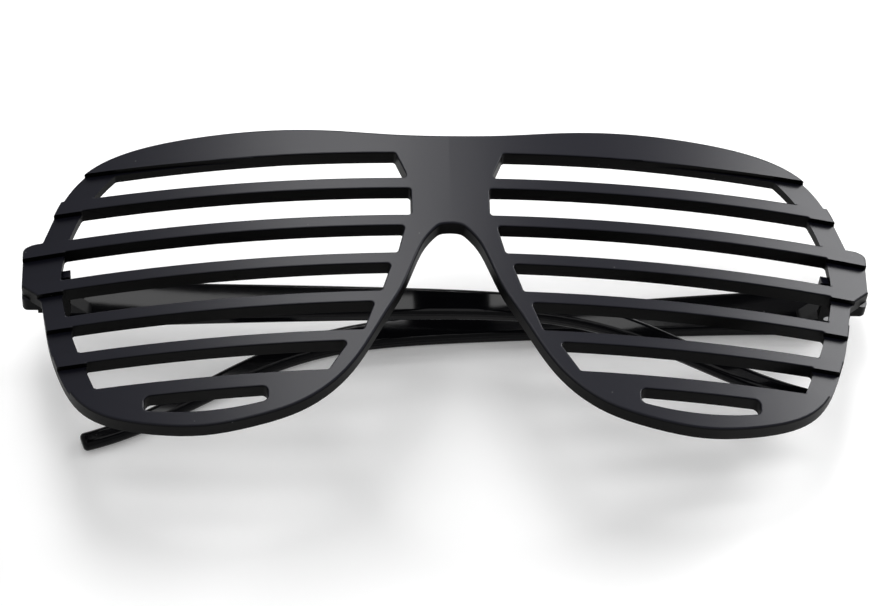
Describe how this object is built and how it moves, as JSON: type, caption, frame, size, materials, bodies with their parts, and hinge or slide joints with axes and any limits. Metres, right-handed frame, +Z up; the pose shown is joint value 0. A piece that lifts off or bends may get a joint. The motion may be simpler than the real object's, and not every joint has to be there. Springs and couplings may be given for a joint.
{
  "type": "slatted novelty glasses",
  "caption": "Wide bowed eyeglass frame with horizontal slats across the eye openings and folding temples on pinned hinges.",
  "frame": {"origin": "on the table, under the middle of the front moulding", "axes": "+X across the face to the side of the hinge whose temple lies on the table, +Y towards the brow, +Z up out of the face"},
  "size_m": [0.15, 0.0594, 0.0291],
  "materials": {
    "front_plastic": "satin moulded",
    "temple_plastic": "polished moulded",
    "screw_steel": "plated"
  },
  "bodies": {
    "front": {"front_frame": "front_plastic", "right_hinge_screw": "screw_steel", "left_hinge_screw": "screw_steel"},
    "right_temple": {"right_temple": "temple_plastic"},
    "left_temple": {"left_temple": "temple_plastic"}
  },
  "joints": [
    {"name": "right_temple_fold", "type": "hinge", "parent": "front", "child": "right_temple", "pos_m": [0.06796, 0.00386, 0.0068], "axis": [0, -1, 0], "range_deg": [0, 87]},
    {"name": "left_temple_fold", "type": "hinge", "parent": "front", "child": "left_temple", "pos_m": [-0.06825, 0.00386, 0.01394], "axis": [0, 1, 0], "range_deg": [0, 94.05]}
  ]
}
